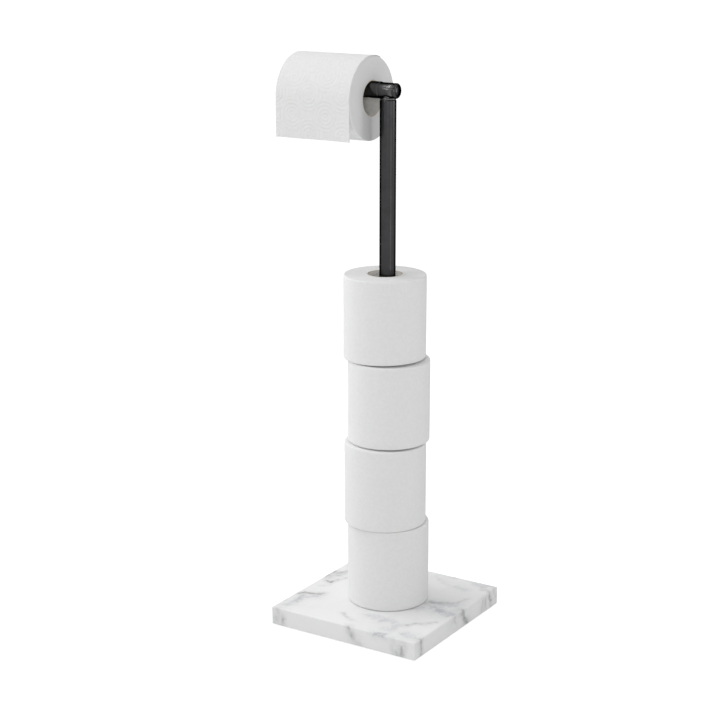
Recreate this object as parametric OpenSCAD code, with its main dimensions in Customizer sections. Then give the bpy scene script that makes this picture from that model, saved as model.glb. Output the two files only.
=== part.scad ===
// Free-standing toilet roll holder: a post on a stone slab, a lift-off arm that
// carries the roll in use, and four spare rolls stored on the post.
// Millimetres. The origin is on the floor under the post, +Z is up, the arm
// reaches towards -X and the paper hangs down on the -Y side.

/* [Slab] */
// Width and depth of the square stone slab
slab_w = 200; // [170:5:260]
// Thickness of the slab
slab_t = 22; // [20:1:28]
// Bevel along every edge of the slab
slab_bevel = 0.8; // [0.4:0.1:1.6]
// Thickness of the non-slip sheet under the slab
mat_t = 1.2; // [0.8:0.1:3]
// How far the sheet stays inside the slab's edge
mat_inset = 4; // [2:1:12]
// Corner radius of the sheet
mat_corner = 8; // [4:1:20]

/* [Bolt under the slab] */
// Diameter of the bolt that holds the post
bolt_d = 8; // [5:0.5:9]
// Length of the bolt under its head
bolt_len = 30; // [26:1:34]
// Width across the flats of the bolt head
bolt_flats = 13; // [10:0.5:16]
// Height of the bolt head
bolt_head_h = 5.3; // [4:0.1:5.8]
// Diameter of the recess that hides the bolt head
recess_d = 34; // [31:1:60]
// Depth of the recess in the slab
recess_h = 10.5; // [10:0.5:14]
// Diameter of the flat washer
washer_d = 28; // [20:1:30]
// Thickness of the flat washer
washer_t = 2; // [1:0.1:2.5]
// Diameter of the spring washer
spring_d = 14.5; // [12:0.5:18]
// Thickness of the spring washer
spring_t = 2; // [1.2:0.1:2.5]
// Width of the split in the spring washer
spring_split = 1.4; // [0.8:0.1:2.5]

/* [Post] */
// Outer diameter of the post tube
post_d = 19; // [18:0.5:24]
// Wall of the post tube
post_wall = 1.2; // [0.8:0.1:1.5]
// Bevel on the upper rim of the post tube
post_bevel = 0.7; // [0.2:0.1:0.8]
// Thickness of the plug flange between tube and slab
flange_t = 2; // [1:0.5:4]
// Solid roof of the plug above its threaded hole
plug_roof = 8; // [4:1:14]
// Depth of the gripping grooves round the plug
groove_h = 0.6; // [0.3:0.1:1]

/* [Arm] */
// Height of the arm's axis above the floor
arm_z = 636.5; // [610:0.5:700]
// Outer diameter of the arm tube
arm_d = 19; // [18:0.5:21]
// Wall of the arm tube
arm_wall = 1.2; // [0.8:0.1:1.5]
// Reach of the arm tube from the post axis
arm_reach = 134; // [128:1:150]
// Diameter of the elbow's barrel
barrel_d = 17.7; // [17:0.1:18.6]
// Where the barrel meets the arm tube, from the post axis
barrel_in = 9; // [7:0.5:12]
// Where the barrel meets its cap, from the post axis
barrel_out = 9; // [8:0.1:10]
// Length of the rounded shoulder at the barrel's outer end
shoulder_len = 5.5; // [3:0.1:6.5]
// How much the shoulder falls in towards the cap, on the radius
shoulder_drop = 0.55; // [0.3:0.05:0.8]
// How deep the elbow's spigot goes into the arm tube
spigot_len = 24; // [15:1:40]
// Diameter of the collar under the barrel
collar_d = 18.4; // [17.2:0.1:19]
// Height of the collar
collar_h = 1.6; // [1.4:0.1:4]
// How deep the barrel sits in the collar
saddle_h = 0.9; // [0.5:0.1:1.3]
// Diameter of the neck between collar and barrel
neck_d = 13; // [12.5:0.5:16]
// Diameter of the peg that drops into the post
peg_d = 12; // [8:0.5:14]
// Length of the peg below the collar
peg_len = 40; // [25:1:60]
// Running clearance round the peg, on the radius
peg_clear = 0.05; // [0.02:0.01:0.1]
// Diameter of the seat washer between post and collar
seat_d = 17.6; // [16.6:0.1:18]
// Thickness of the seat washer
seat_t = 0.7; // [0.5:0.1:2]

/* [End caps] */
// Diameter of a cap
cap_d = 17.6; // [17:0.1:18.4]
// Width of the straight band of a cap
cap_band = 1.7; // [1.2:0.1:3]
// Radius of the rounded rim between band and face
cap_round = 2.6; // [1.5:0.1:3]
// Diameter of the button in the middle of the face
cap_button_d = 11; // [8:0.1:11.4]
// Width and depth of the groove round the button
cap_groove = 0.5; // [0.3:0.1:0.7]
// Rise of the domed button
cap_dome = 0.8; // [0.3:0.1:1.5]
// Length of a cap's spigot
cap_spigot = 8; // [5:0.5:12]
// Diameter of the spigot that fits the elbow's barrel
cap_pin_d = 10; // [6:0.5:12]

/* [Rolls] */
// Outer diameter of a roll
roll_d = 97.5; // [90:0.5:112]
// Length of a roll
roll_len = 100; // [92:0.5:104]
// Outer diameter of the cardboard core
core_d = 41.6; // [38:0.2:46]
// Wall of the cardboard core
core_wall = 0.8; // [0.5:0.1:1.5]
// Rounding of a roll's outer edges
roll_edge = 2.2; // [1:0.1:4]
// Distance from the post axis to the hanging roll
roll_inset = 21; // [17:0.5:25]
// How far the loose end hangs below the roll's axis
tail_drop = 45; // [30:1:90]
// Thickness of the loose end
tail_t = 0.7; // [0.5:0.1:1]
// Gap under and over pieces that rest on each other loosely
rest_gap = 0.3; // [0.2:0.05:0.5]

/* [Hidden] */

$fn = 96;
// A round that meets nothing else is cut with this overlap
cut = 1;
// Fixed fits, on the radius
fit = 0.05;
bolt_play = 0.5;
// Small bevel on turned edges, and the relief where the stem passes under the tube and the cap
edge = 0.4;
relief = 0.2;

// How far each stored roll sits off the post's axis, as a share of the play
// between its core and the post, from the lowest roll to the highest
lean = [[0.11, 0.21], [-0.1, -0.15], [0.06, 0.29], [-0.5, 0.29]];

slab_z = mat_t;
slab_top = slab_z + slab_t;
recess_top = slab_z + recess_h;
head_top = recess_top - washer_t - spring_t;
bolt_top = head_top + bolt_len;
thread_spare = 2;
plug_top = bolt_top + thread_spare + plug_roof;
post_r = post_d / 2;
post_bore_r = post_r - post_wall;
arm_r = arm_d / 2;
arm_bore_r = arm_r - arm_wall;
collar_top = arm_z - barrel_d / 2 + saddle_h;
collar_z = collar_top - collar_h;
seat_z = collar_z - seat_t;
post_top = seat_z;
post_z = slab_top + flange_t;
bush_spare = 4;
core_bore_r = core_d / 2 - core_wall;
core_play = core_bore_r - post_r;
roll_pitch = roll_len + rest_gap;
roll_z = arm_z + arm_r + rest_gap - core_bore_r;
groove_w = 1.5;
groove_step = 4;
grooves = 3;

// A box whose twelve edges are bevelled, standing on z = 0
module bevelled_box(w, d, h, b) {
  intersection() {
    linear_extrude(h) bevelled_rect(w, d, b);
    translate([0, d / 2, h / 2]) rotate([90, 0, 0]) linear_extrude(d) bevelled_rect(w, h, b);
    translate([-w / 2, 0, h / 2]) rotate([90, 0, 90]) linear_extrude(w) bevelled_rect(d, h, b);
  }
}

module bevelled_rect(w, h, b) {
  x = w / 2;
  y = h / 2;
  polygon([
    [x - b, -y], [x, b - y], [x, y - b], [x - b, y],
    [b - x, y], [-x, y - b], [-x, b - y], [b - x, -y]
  ]);
}

module round_square(w, r) {
  s = w / 2 - r;
  square([w, w - 2 * r], center = true);
  square([w - 2 * r, w], center = true);
  for (x = [-s, s], y = [-s, s]) translate([x, y]) circle(r);
}

module tube(r, bore_r, h) {
  difference() {
    cylinder(r = r, h = h);
    translate([0, 0, -cut]) cylinder(r = bore_r, h = h + 2 * cut);
  }
}

// Turns a shape that was drawn along +Z so that it lies along +X
module along_x() {
  rotate([0, 90, 0]) children();
}

module base_slab() {
  color([0.93, 0.93, 0.92])
  translate([0, 0, slab_z])
  difference() {
    bevelled_box(slab_w, slab_w, slab_t, slab_bevel);
    translate([0, 0, -cut]) cylinder(r = bolt_d / 2 + bolt_play, h = slab_t + 2 * cut);
    translate([0, 0, -cut]) cylinder(r = recess_d / 2, h = recess_h + cut);
  }
}

// Non-slip sheet glued under the slab, open at the bolt's recess
module base_mat() {
  color([0.16, 0.16, 0.17])
  difference() {
    linear_extrude(mat_t) round_square(slab_w - 2 * mat_inset, mat_corner);
    translate([0, 0, -cut]) cylinder(r = recess_d / 2 + edge, h = mat_t + 2 * cut);
  }
}

module base_bolt() {
  flats_r = bolt_flats / 2 / cos(30);
  color([0.62, 0.63, 0.65])
  union() {
    intersection() {
      translate([0, 0, head_top - bolt_head_h]) cylinder(r = flats_r, h = bolt_head_h, $fn = 6);
      translate([0, 0, head_top - bolt_head_h]) rotate_extrude() polygon([
        [0, 0], [flats_r - 2 * edge, 0], [flats_r, edge], [flats_r, bolt_head_h], [0, bolt_head_h]
      ]);
    }
    translate([0, 0, head_top - edge]) rotate_extrude() polygon([
      [0, 0], [bolt_d / 2, 0], [bolt_d / 2, bolt_len], [bolt_d / 2 - edge, bolt_len + edge],
      [0, bolt_len + edge]
    ]);
  }
}

module flat_washer() {
  color([0.66, 0.67, 0.68])
  translate([0, 0, recess_top - washer_t])
  tube(washer_d / 2, bolt_d / 2 + fit, washer_t);
}

// Split ring between the bolt head and the flat washer
module spring_washer() {
  color([0.5, 0.5, 0.52])
  translate([0, 0, head_top])
  difference() {
    tube(spring_d / 2, bolt_d / 2 + fit, spring_t);
    rotate([0, 0, 35]) translate([0, -spring_split / 2, -cut])
    cube([spring_d, spring_split, spring_t + 2 * cut]);
  }
}

// Threaded plug pressed into the post's lower end, with a flange on the slab
module foot_plug() {
  plug_r = post_bore_r - fit;
  color([0.55, 0.55, 0.57])
  difference() {
    union() {
      translate([0, 0, slab_top]) cylinder(r = post_r, h = flange_t);
      translate([0, 0, slab_top]) cylinder(r = plug_r, h = plug_top - slab_top);
    }
    translate([0, 0, slab_top - cut]) cylinder(r = bolt_d / 2 + fit, h = bolt_top + thread_spare - slab_top + cut);
    for (i = [1 : grooves]) translate([0, 0, post_z + i * groove_step]) difference() {
      cylinder(r = plug_r + cut, h = groove_w);
      translate([0, 0, -cut]) cylinder(r = plug_r - groove_h, h = groove_w + 2 * cut);
    }
  }
}

module post_tube() {
  color([0.09, 0.09, 0.1])
  rotate_extrude() polygon([
    [post_bore_r, post_z], [post_r - edge, post_z], [post_r, post_z + edge],
    [post_r, post_top - post_bevel], [post_r - post_bevel, post_top], [post_bore_r, post_top]
  ]);
}

// Plastic sleeve in the post's upper end that takes the arm's peg
module post_bush() {
  bush_h = peg_len - seat_t + bush_spare;
  color([0.2, 0.2, 0.21])
  translate([0, 0, post_top - bush_h])
  tube(post_bore_r - fit, peg_d / 2 + peg_clear, bush_h);
}

module seat_washer() {
  color([0.05, 0.05, 0.05])
  translate([0, 0, seat_z])
  tube(seat_d / 2, peg_d / 2 + rest_gap, seat_t);
}

// Cast elbow: barrel and spigot along the arm, collar, neck and peg down the post
module arm_elbow() {
  color([0.1, 0.1, 0.11])
  difference() {
    union() {
      elbow_barrel();
      difference() {
        elbow_stem();
        translate([barrel_out, 0, arm_z]) along_x() cylinder(r = cap_d / 2 + relief, h = collar_d);
        translate([-barrel_in - collar_d, 0, arm_z]) along_x() cylinder(r = arm_r + relief, h = collar_d);
      }
    }
    translate([barrel_out - cap_spigot - fit, 0, arm_z]) along_x()
    cylinder(r = cap_pin_d / 2, h = cap_spigot + cut);
  }
}

// Barrel in line with the arm tube, and the spigot that holds the tube
module elbow_barrel() {
  spigot_r = arm_bore_r - fit;
  barrel_r = barrel_d / 2;
  tip = -barrel_in - spigot_len;
  shoulder_x = barrel_out - shoulder_len;
  crown_r = (shoulder_len * shoulder_len + shoulder_drop * shoulder_drop) / (2 * shoulder_drop);
  translate([0, 0, arm_z]) along_x() rotate_extrude() {
    polygon([
      [0, tip], [spigot_r - edge, tip], [spigot_r, tip + edge], [spigot_r, -barrel_in],
      [barrel_r - edge, -barrel_in], [barrel_r, edge - barrel_in], [barrel_r, shoulder_x],
      [0, shoulder_x]
    ]);
    intersection() {
      translate([barrel_r - crown_r, shoulder_x]) circle(crown_r, $fn = 720);
      translate([0, shoulder_x]) square([barrel_r, shoulder_len]);
    }
  }
}

// Collar on the post, neck into the barrel and peg into the post's bush
module elbow_stem() {
  translate([0, 0, collar_z]) rotate_extrude() polygon([
    [0, 0], [collar_d / 2, 0], [collar_d / 2, collar_h - edge],
    [collar_d / 2 - edge, collar_h], [0, collar_h]
  ]);
  translate([0, 0, collar_z]) cylinder(r = neck_d / 2, h = arm_z - collar_z);
  translate([0, 0, collar_z - peg_len]) rotate_extrude() polygon([
    [0, 0], [peg_d / 2 - 2 * edge, 0], [peg_d / 2, 2 * edge], [peg_d / 2, peg_len + edge],
    [0, peg_len + edge]
  ]);
}

// Cap drawn from its seat at z = 0: spigot below, then band, rounded rim and a
// domed button set in a groove
module end_cap(pin_r) {
  band_r = cap_d / 2;
  face_z = cap_band + cap_round;
  button_r = cap_button_d / 2;
  dome_r = (button_r * button_r + cap_dome * cap_dome) / (2 * cap_dome);
  translate([0, 0, -cap_spigot]) rotate_extrude() polygon([
    [0, 0], [pin_r - edge, 0], [pin_r, edge], [pin_r, cap_spigot + edge], [0, cap_spigot + edge]
  ]);
  rotate_extrude() difference() {
    union() {
      polygon([[0, 0], [band_r - relief, 0], [band_r, relief], [band_r, cap_band], [0, cap_band]]);
      square([band_r - cap_round, face_z]);
      intersection() {
        translate([band_r - cap_round, cap_band]) circle(cap_round, $fn = 120);
        translate([0, cap_band]) square([band_r, cap_round]);
      }
    }
    translate([button_r, face_z - cap_groove]) square([cap_groove, cap_round]);
  }
  rotate_extrude() intersection() {
    translate([0, face_z + cap_dome - dome_r]) circle(dome_r, $fn = 360);
    translate([0, face_z - edge]) square([button_r, cap_dome + edge]);
  }
}

module elbow_cap() {
  color([0.07, 0.07, 0.08])
  translate([barrel_out, 0, arm_z]) along_x() end_cap(cap_pin_d / 2 - fit);
}

module arm_tube() {
  color([0.09, 0.09, 0.1])
  translate([-arm_reach, 0, arm_z]) along_x() rotate_extrude() polygon([
    [arm_bore_r, 0], [arm_r - edge, 0], [arm_r, edge],
    [arm_r, arm_reach - barrel_in - edge], [arm_r - edge, arm_reach - barrel_in],
    [arm_bore_r, arm_reach - barrel_in]
  ]);
}

module tip_cap() {
  color([0.07, 0.07, 0.08])
  translate([-arm_reach, 0, arm_z]) mirror([1, 0, 0]) along_x() end_cap(arm_bore_r - fit);
}

// Cardboard core, drawn from z = 0
module core() {
  color([0.72, 0.6, 0.47])
  tube(core_d / 2, core_bore_r, roll_len);
}

// Wound tissue with softly rounded outer edges, drawn from z = 0
module winding() {
  r = roll_d / 2;
  inner_r = core_d / 2 + fit;
  rotate_extrude() {
    translate([inner_r, 0]) square([r - roll_edge - inner_r, roll_len]);
    translate([inner_r, roll_edge]) square([r - inner_r, roll_len - 2 * roll_edge]);
    for (z = [roll_edge, roll_len - roll_edge]) translate([r - roll_edge, z]) circle(roll_edge);
  }
}

module hanging_core() {
  translate([-roll_inset - roll_len, 0, roll_z]) along_x() core();
}

// Winding in use: its loose end comes over the top and hangs down in front
module hanging_paper() {
  color([0.94, 0.94, 0.94])
  translate([-roll_inset - roll_len, 0, roll_z])
  union() {
    along_x() winding();
    translate([0, -roll_d / 2, -tail_drop]) cube([roll_len, tail_t, tail_drop]);
  }
}

module at_spare(n) {
  shift = core_play * lean[n - 1];
  translate([shift[0], shift[1], slab_top + rest_gap + (n - 1) * roll_pitch]) children();
}

module spare_core(n) {
  at_spare(n) core();
}

module spare_paper(n) {
  color([0.94, 0.94, 0.94])
  at_spare(n) winding();
}

base_slab();
base_mat();
base_bolt();
flat_washer();
spring_washer();
foot_plug();
post_tube();
post_bush();
seat_washer();
arm_elbow();
elbow_cap();
arm_tube();
tip_cap();
hanging_core();
hanging_paper();
spare_core(1);  // spare_core_1
spare_paper(1);  // spare_paper_1
spare_core(2);  // spare_core_2
spare_paper(2);  // spare_paper_2
spare_core(3);  // spare_core_3
spare_paper(3);  // spare_paper_3
spare_core(4);  // spare_core_4
spare_paper(4);  // spare_paper_4
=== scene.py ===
"""Finishes and soft pieces of a free-standing toilet roll holder.

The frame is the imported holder: a stone slab, a black post, a lift-off arm, the roll in
use and four stored rolls. Lengths are in metres, +Z is up, the arm reaches towards -X
and the paper hangs down on the -Y side.
"""

import math

import bmesh
import bpy
from mathutils import Matrix, Vector, noise


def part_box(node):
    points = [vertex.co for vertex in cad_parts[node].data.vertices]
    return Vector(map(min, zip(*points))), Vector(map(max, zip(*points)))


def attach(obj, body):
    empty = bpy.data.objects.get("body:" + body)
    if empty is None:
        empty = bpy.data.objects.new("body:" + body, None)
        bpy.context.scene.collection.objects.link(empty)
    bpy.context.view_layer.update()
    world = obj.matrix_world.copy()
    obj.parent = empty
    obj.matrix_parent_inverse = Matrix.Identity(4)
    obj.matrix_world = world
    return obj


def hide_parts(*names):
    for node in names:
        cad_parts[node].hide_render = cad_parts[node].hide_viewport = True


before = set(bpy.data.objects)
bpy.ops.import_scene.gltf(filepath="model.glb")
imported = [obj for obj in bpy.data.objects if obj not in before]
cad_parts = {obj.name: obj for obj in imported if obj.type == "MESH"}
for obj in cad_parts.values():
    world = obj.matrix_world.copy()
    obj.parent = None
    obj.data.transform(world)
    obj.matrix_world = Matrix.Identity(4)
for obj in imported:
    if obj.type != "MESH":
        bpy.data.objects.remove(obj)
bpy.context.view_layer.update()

bl_info = {
    "name": "Toilet Roll Holder Looks",
    "version": (1, 0, 0),
    "blender": (4, 5, 0),
    "location": "3D View > Sidebar > Roll Holder",
    "description": "Stone, black metal, card and embossed tissue for a roll holder",
    "category": "Object",
}

SPARES = (1, 2, 3, 4)

# A millimetre in metres, and the slack in comparing places and angles.
MM = 0.001
TINY = 1e-6

STEEL_NODES = ("base_bolt", "flat_washer", "spring_washer", "foot_plug")
BLACK_NODES = ("post_tube", "elbow_cap", "tip_cap")
ARM_NODES = ("arm_tube", "arm_elbow")
PLASTIC_NODES = ("post_bush", "seat_washer")

# Plain finishes: colour, roughness, metallic, and the scale and depth of the grain. For all
# of them, the share of the colour in its dark spots and how much rougher its heights are.
FOAM = ((0.05, 0.05, 0.055, 1.0), 0.75, 0.0, 700.0, 0.2 * MM)
ZINC = ((0.55, 0.56, 0.58, 1.0), 0.3, 1.0, 800.0, 0.02 * MM)
PLASTIC = ((0.03, 0.03, 0.03, 1.0), 0.5, 0.0, 900.0, 0.04 * MM)
GRAIN_SHADE = 0.78
GRAIN_ROUGHER = 0.2

# The black coat: the share of its colour in the grain's dark spots, how much rougher it is
# there, and where its painted dark rim, a painted dark reflection, starts as the coat turns
# away and is darkest, from 0 face on to 1 edge on.
COAT_SHADE = 0.86
COAT_ROUGHER = 0.06
COAT_PAINTED_RIM = (0.24, 0.70)

# Board of the cores: the colours of its face, its darker fibres, its seam and its cut ends,
# and how far from each end the cut starts to show and covers all.
CARD_PALE = (0.88, 0.865, 0.83, 1.0)
CARD_GREY = (0.80, 0.78, 0.74, 1.0)
CARD_SEAM = (0.50, 0.47, 0.43, 1.0)
CARD_RAW = (0.66, 0.58, 0.45, 1.0)
CARD_CUT = (0.9 * MM, 0.2 * MM)

# The board's spiral seam: its rise in one turn, half its width as a share of a turn, how
# much of its own colour it shows, and its depth beside the grain's.
SEAM_RISE = 42 * MM
SEAM_SHARE = 0.018
SEAM_TINT = 0.6
SEAM_DEPTH = 0.8

# Veins and clouds of the stone, face by face: width in millimetres, strength, and then
# the course. On the top it is x, y from the post's axis, on a side face the place along
# that face's axis and the height over the floor. Some top clouds are also painted shadow.
VEINS = {
    "top": (
        (4.0, 0.75, (-98, 14), (-98, 26), (-96, 34)),
        (4.6, 0.50, (-95, 13), (-91, 29), (-83, 44)),
        (3.0, 0.40, (-93, 22), (-86, 24), (-80, 34)),
        (3.6, 0.90, (-88, 3), (-82, 3), (-79, 15)),
        (3.0, 0.50, (-79, 15), (-72, 27)),
        (2.6, 0.30, (-88, -13), (-78, -5)),
        (3.8, 0.90, (-95, -48), (-91, -42), (-76, -39), (-71, -33)),
        (3.4, 0.55, (-90, -44), (-88, -54), (-86, -70)),
        (2.6, 0.20, (-88, -95), (-80, -81)),
        (3.4, 0.40, (-18, -71), (-8, -78), (4, -83)),
        (3.4, 0.50, (65, -62), (72, -53), (79, -49), (91, -36)),
        (7.0, 0.38, (54, 10), (65, 19), (73, 21)),
        (3.4, 0.30, (73, 21), (77, 23), (83, 31), (89, 48)),
        (3.0, 0.50, (90, 82), (98, 84)),
        (3.0, 0.40, (-96, 66), (-86, 52)),
        (2.8, 0.40, (-58, 98), (-44, 82), (-34, 80)),
    ),
    "front": (
        (3.6, 0.70, (-84, 12), (-86, 2)),
        (8.0, 0.25, (-91, 22), (-92, 3)),
        (4.2, 0.55, (10, 22), (15, 12)),
        (3.8, 0.45, (15, 12), (22, 3)),
        (4.4, 0.75, (82, 14), (81, 4)),
        (4.0, 0.45, (73, 8), (75, 3)),
    ),
    "right": (
        (4.2, 0.75, (-87, 22), (-85, 9), (-86, 2)),
        (3.2, 0.90, (80, 23), (83, 12), (84, 2)),
        (3.4, 0.40, (70, 18), (70, 6)),
        (3.4, 0.35, (62, 18), (60, 8)),
        (5.4, 0.85, (11, 22), (15, 11), (23, 2)),
        (2.6, 0.20, (-11, 22), (-4, 9)),
    ),
    "back": (
        (3.6, 0.60, (93, 23), (89, 2)),
        (4.2, 0.45, (42, 22), (35, 10), (31, 2)),
        (3.4, 0.40, (-58, 22), (-64, 3)),
    ),
    "left": (
        (4.0, 0.70, (15, 23), (22, 10), (19, 2)),
        (3.6, 0.60, (-49, 23), (-54, 2)),
        (3.4, 0.35, (67, 22), (61, 3)),
    ),
}
CLOUDS_AND_ROLL_SHADOW = {
    "top": (
        (9.0, 0.55, (-74, -43), (-86, -56), (-86, -73), (-88, -85)),
        (8.0, 0.40, (-92, 14), (-84, 34)),
        (9.0, 0.45, (12, -59), (34, -58), (57, -67), (58, -84), (48, -79)),
        (7.0, 0.80, (34, -67), (39, -63)),
        (5.0, 0.95, (46, -99), (57, -95)),
        # The next three clouds, right of the lowest roll, are clouding and also painted shadow of the
        # rolls; the last runs along the roll's base as a painted contact shadow.
        (12.0, 0.95, (66, 1), (83, -6), (93, -8)),
        (12.0, 0.75, (56, 12), (76, 20), (84, 22)),
        (7.0, 0.55, (49, -17), (54, -8), (63, -4)),
        (9.0, 0.45, (55, 71), (73, 70)),
        (6.0, 0.65, (71, 95), (87, 88)),
        (5.0, 0.60, (85, 97), (101, 93)),
        (7.0, 0.70, (76, -84), (98, -88)),
        (9.0, 0.35, (-30, 92), (-12, 74)),
        (8.0, 0.32, (20, 88), (46, 72)),
    ),
    "front": (
        (6.0, 0.35, (14, 14), (24, 2)),
        (10.0, 0.28, (70, 20), (74, 3)),
        (9.0, 0.25, (84, 21), (80, 3)),
        (7.0, 0.35, (-98, 9), (-97, 2)),
    ),
    "right": (
        (8.0, 0.50, (13, 20), (22, 2)),
        (6.0, 0.45, (92, 20), (97, 2)),
        (10.0, 0.30, (66, 18), (66, 6)),
    ),
    "back": (
        (9.0, 0.50, (79, 22), (72, 3)),
        (10.0, 0.35, (-20, 22), (-28, 2)),
    ),
    "left": (
        (9.0, 0.45, (-74, 22), (-80, 2)),
        (8.0, 0.35, (34, 22), (41, 3)),
    ),
}

# How far a stroke is pushed aside where it crosses others, and the faint halo round it:
# its width over the stroke's own and its share of the mask.
CROSSING_PUSH = (0.8 * MM, -0.6 * MM, 0.0)
HALO_WIDTH = 2.6
HALO_SHARE = 0.35

# Noise that bends the courses, wide and then narrow, and that billows the clouds further:
# its scale and how far it pushes.
VEIN_BENDS = ((40.0, 12 * MM), (190.0, 5 * MM))
CLOUD_BEND = (95.0, 14 * MM)

# Noise in the stone, as scale, detail and roughness: patches that break up the veins and
# the clouds, and a mist that lays a faint haze. Each break and the haze say between which
# values of the noise they step, and from what strength to what. The last is how much
# rougher the stone is in the spots of its grain.
PATCHES = (150.0, 5.0, 0.68)
VEIN_BREAK = (0.28, 0.60, 0.30, 1.0)
CLOUD_BREAK = (0.28, 0.62, 0.35, 1.0)
MIST = (22.0, 4.0, 0.6)
HAZE = (0.50, 0.78, 0.0, 0.14)
STONE_ROUGHER = 0.08

# Tissue: where its face passes into a wound end, from before the end to past it, how much
# the fibres show, their share of the white, and the part of a pitch in which rings fade out.
FACE_EDGE = (-1.0 * MM, 0.5 * MM)
FIBRE_TINT = 0.6
FIBRE_SHADE = 0.955
RING_FADE = 0.4

# Windings: the fine rings on their ends, the cuts along their face, the segments of their
# rounded edges, the angle that the last step round leaves to be closed, the air round the
# core, and how upright the normal of a face is that belongs to an end.
END_RINGS = 34
END_RING_DEPTH = 0.1 * MM
FACE_CUTS = 24
EDGE_SEGMENTS = 6
CLOSING_GAP = math.radians(0.4)
CORE_CLEARANCE = 0.05 * MM
END_UPRIGHT = 0.8

# Softness of the windings: wide and narrow lumps of the face as scale and height, how far
# from the ends the paper gives, how much it gives there, and how uneven its layers are,
# with the scale of that noise across the layers and round the roll.
LUMPS = ((24, 0.2 * MM), (90, 0.05 * MM))
SOFT_REACH = 8 * MM
END_DIP = 0.12 * MM
LAYER_DEPTH = 0.16 * MM
LAYER_SCALE = 420
LAYER_DRIFT = 0.8
SEED_STEPS = (3.7, 1.3, 7.1)
HANGING_SEED = 9

# How far each face lies inside its CAD roll: the stored rolls swell, the roll in use is
# slack under its last sheet.
STORED_SUNK = -0.05 * MM
HANGING_SUNK = 0.14 * MM

# Degrees that the lowest stored roll is turned by, and how much further each one above is.
FIRST_TURN = 93
NEXT_TURN = 23

# How far the stored rolls gape at their lower and upper ends, on the side that they face.
GAPES = {1: (0.0, 0.0), 2: (0.0, 0.9 * MM), 3: (0.9 * MM, 1.2 * MM), 4: (1.2 * MM, 0.0)}
GAPE_SIDE = math.radians(-22)

# Share of the face's white that the wound ends keep, as painted shade between their layers,
# deeper on the roll in use, and share of the emboss depth that shows on the stored rolls.
STORED_END_SHADE_SHARE = 0.98
HANGING_END_SHADE_SHARE = 0.91
STORED_EMBOSS_SHARE = 0.1

# The last sheet: its grid along and across, its thickness beside a wound layer's, the torn
# teeth of its free edge, and the sway and the outward kick of the part that hangs.
SHEET_GRID = (120, 150)
SHEET_SHARE = 0.8
TEETH = 50
TOOTH_HEIGHT = 0.25 * MM
SWAY = 0.7 * MM
SWAY_WAVE = 5.2
SWAY_START = 0.6
KICK = 0.9 * MM

# Angle between faces above which an edge is shaded sharp.
SHARP = math.radians(50)

# The studio floor: half its width, its grey for the light that it sends back, and its grey
# for the shadows that the camera sees on it.
FLOOR_REACH = 30.0
FLOOR_GREY = (0.8, 0.8, 0.8, 1.0)
FLOOR_SHADOW_GREY = (0.35, 0.35, 0.35, 1.0)

# Width of the camera's sensor in millimetres.
SENSOR_WIDTH = 36.0

# Soft lamps: place, the point each one faces, width and height, and power in watts.
LAMPS = {
    "left_softbox": ((-1.4, -0.1, 0.86), (0, 0, 0.45), (0.6, 1.0), 6.5),
    "front_softbox": ((0.67, -1.16, 0.82), (0, 0, 0.5), (0.4, 0.5), 3.6),
    "back_softbox": ((1.16, 0.67, 0.82), (0, 0, 0.5), (0.4, 0.8), 3.3),
    "high_spot": ((-0.51, -0.30, 1.84), (0, 0, 0.63), (0.2, 0.2), 1.5),
    "middle_spot": ((-0.56, -0.66, 1.66), (0, 0, 0.63), (0.2, 0.2), 1.8),
    "low_spot": ((-0.63, -1.08, 1.14), (0, 0, 0.63), (0.2, 0.2), 0.9),
    "side_strip": ((1.15, -0.32, 0.5), (0, 0, 0.35), (0.2, 1.0), 0.8),
}


class StoneLook(bpy.types.PropertyGroup):
    """Colours of the stone slab"""

    ground: bpy.props.FloatVectorProperty(
        name="Ground", description="White of the stone between its veins",
        subtype="COLOR", size=4, min=0.0, max=1.0, default=(0.835, 0.835, 0.835, 1.0))
    vein: bpy.props.FloatVectorProperty(
        name="Vein", description="Grey-green of the narrow veins",
        subtype="COLOR", size=4, min=0.0, max=1.0, default=(0.27, 0.275, 0.262, 1.0))
    # The cloud colour also paints the rolls' shadow on the stone.
    cloud: bpy.props.FloatVectorProperty(
        name="Cloud", description="Blue-grey of the wide clouds",
        subtype="COLOR", size=4, min=0.0, max=1.0, default=(0.46, 0.475, 0.505, 1.0))
    roughness: bpy.props.FloatProperty(
        name="Roughness", description="Roughness of the honed stone",
        subtype="FACTOR", min=0.0, max=1.0, default=0.42)


class MetalLook(bpy.types.PropertyGroup):
    """Finish of the black metalwork"""

    black: bpy.props.FloatVectorProperty(
        name="Black", description="Colour that the black coat of the post and the caps reflects",
        subtype="COLOR", size=4, min=0.0, max=1.0, default=(0.050, 0.050, 0.052, 1.0))
    # Painted light: the arm's coat is the post's black painted lighter, a lit copy of the same coat.
    arm_black_painted_lighter: bpy.props.FloatVectorProperty(
        name="Arm Black", description="Colour that the arm's black coat reflects",
        subtype="COLOR", size=4, min=0.0, max=1.0, default=(0.098, 0.098, 0.100, 1.0))
    # Edge: the colour of a painted dark reflection, which the coat takes where it turns away.
    edge: bpy.props.FloatVectorProperty(
        name="Edge", description="Colour of the coat where it turns away",
        subtype="COLOR", size=4, min=0.0, max=1.0, default=(0.004, 0.004, 0.004, 1.0))
    roughness: bpy.props.FloatProperty(
        name="Roughness", description="Roughness of the satin coat",
        subtype="FACTOR", min=0.0, max=1.0, default=0.17)


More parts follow.
